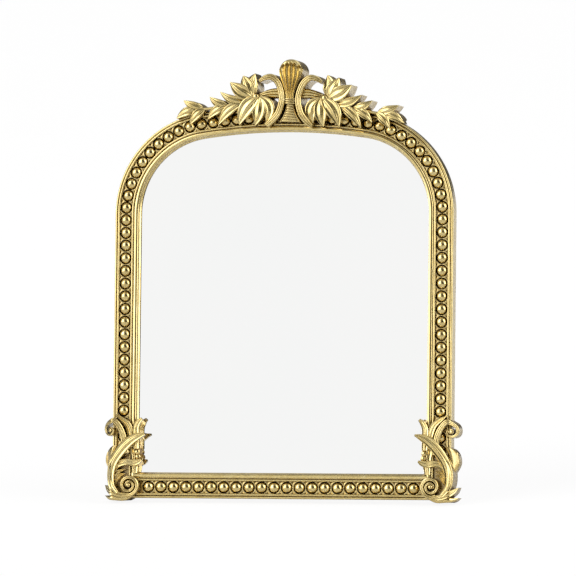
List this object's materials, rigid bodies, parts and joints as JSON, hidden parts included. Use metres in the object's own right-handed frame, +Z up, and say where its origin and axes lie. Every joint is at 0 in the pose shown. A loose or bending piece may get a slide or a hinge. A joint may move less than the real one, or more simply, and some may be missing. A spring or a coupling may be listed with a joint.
{
  "type": "table mirror",
  "caption": "Arched standing table mirror: beaded gilt moulding, leaf crest with shell finial, scrolled corner feet and a folding easel strut.",
  "frame": {"origin": "centre of the footprint, on the surface the mirror stands on, with the strut open", "axes": "+Z up, +X to the viewer's right across the mirror, +Y to the back; the glass faces -Y and leans back 10 degrees"},
  "size_m": [0.318, 0.1012, 0.3789],
  "materials": {
    "gilt_wood": "burnished gold leaf paint over a wooden frame moulding, dark wax in the hollows",
    "gilt_bead": "burnished gold over moulded composition beads, dark wax round their feet",
    "gilt_ornament": "gold paint over cast resin ornament, lighter on the ridges and dark in the recesses",
    "silvered_glass": "clear silvered flat glass",
    "liner": "plain grey-white liner card",
    "flock": "black flocked fibreboard",
    "steel": "plain zinc-plated steel",
    "brassed_steel": "brass-plated steel",
    "stay_cloth": "black woven ribbon"
  },
  "bodies": {
    "frame": {"arch_moulding": "gilt_wood", "right_stile_moulding": "gilt_wood", "left_stile_moulding": "gilt_wood", "bottom_rail_moulding": "gilt_wood", "arch_beading": "gilt_bead", "right_stile_beading": "gilt_bead", "left_stile_beading": "gilt_bead", "bottom_rail_beading": "gilt_bead", "shell_finial": "gilt_ornament", "right_crest_scroll": "gilt_ornament", "left_crest_scroll": "gilt_ornament", "right_crest_leaf_fan": "gilt_ornament", "left_crest_leaf_fan": "gilt_ornament", "right_crest_laurel_spray": "gilt_ornament", "left_crest_laurel_spray": "gilt_ornament", "right_corner_casting": "gilt_ornament", "left_corner_casting": "gilt_ornament", "mirror_glass": "silvered_glass", "glass_liner": "liner", "backing_board": "flock", "turn_button_screws": "steel", "hinge_board_leaf": "steel", "hinge_pin": "steel", "board_rivets": "steel", "stay_ribbon": "stay_cloth"},
    "strut": {"strut": "flock", "hinge_strut_leaf": "steel", "strut_rivets": "steel"},
    "turn_button_right_stile": {"turn_button_right_stile": "brassed_steel"},
    "turn_button_left_stile": {"turn_button_left_stile": "brassed_steel"},
    "turn_button_right_shoulder": {"turn_button_right_shoulder": "brassed_steel"},
    "turn_button_left_shoulder": {"turn_button_left_shoulder": "brassed_steel"},
    "turn_button_right_rail": {"turn_button_right_rail": "brassed_steel"},
    "turn_button_left_rail": {"turn_button_left_rail": "brassed_steel"}
  },
  "joints": [
    {"name": "strut_fold", "type": "hinge", "parent": "frame", "child": "strut", "pos_m": [0, 0.00752, 0.20992], "axis": [-1, 0, 0], "range_deg": [0, 20], "deforming": ["stay_ribbon"]},
    {"name": "turn_button_right_stile_swivel", "type": "hinge", "parent": "frame", "child": "turn_button_right_stile", "pos_m": [0.138, -0.0071, 0.13735], "axis": [0, -0.9848, 0.1736], "continuous": true},
    {"name": "turn_button_left_stile_swivel", "type": "hinge", "parent": "frame", "child": "turn_button_left_stile", "pos_m": [-0.138, -0.0071, 0.13735], "axis": [0, -0.9848, 0.1736], "continuous": true},
    {"name": "turn_button_right_shoulder_swivel", "type": "hinge", "parent": "frame", "child": "turn_button_right_shoulder", "pos_m": [0.11285, 0.02155, 0.29983], "axis": [0, -0.9848, 0.1736], "continuous": true},
    {"name": "turn_button_left_shoulder_swivel", "type": "hinge", "parent": "frame", "child": "turn_button_left_shoulder", "pos_m": [-0.11285, 0.02155, 0.29983], "axis": [0, -0.9848, 0.1736], "continuous": true},
    {"name": "turn_button_right_rail_swivel", "type": "hinge", "parent": "frame", "child": "turn_button_right_rail", "pos_m": [0.078, -0.02888, 0.01386], "axis": [0, -0.9848, 0.1736], "continuous": true},
    {"name": "turn_button_left_rail_swivel", "type": "hinge", "parent": "frame", "child": "turn_button_left_rail", "pos_m": [-0.078, -0.02888, 0.01386], "axis": [0, -0.9848, 0.1736], "continuous": true}
  ]
}
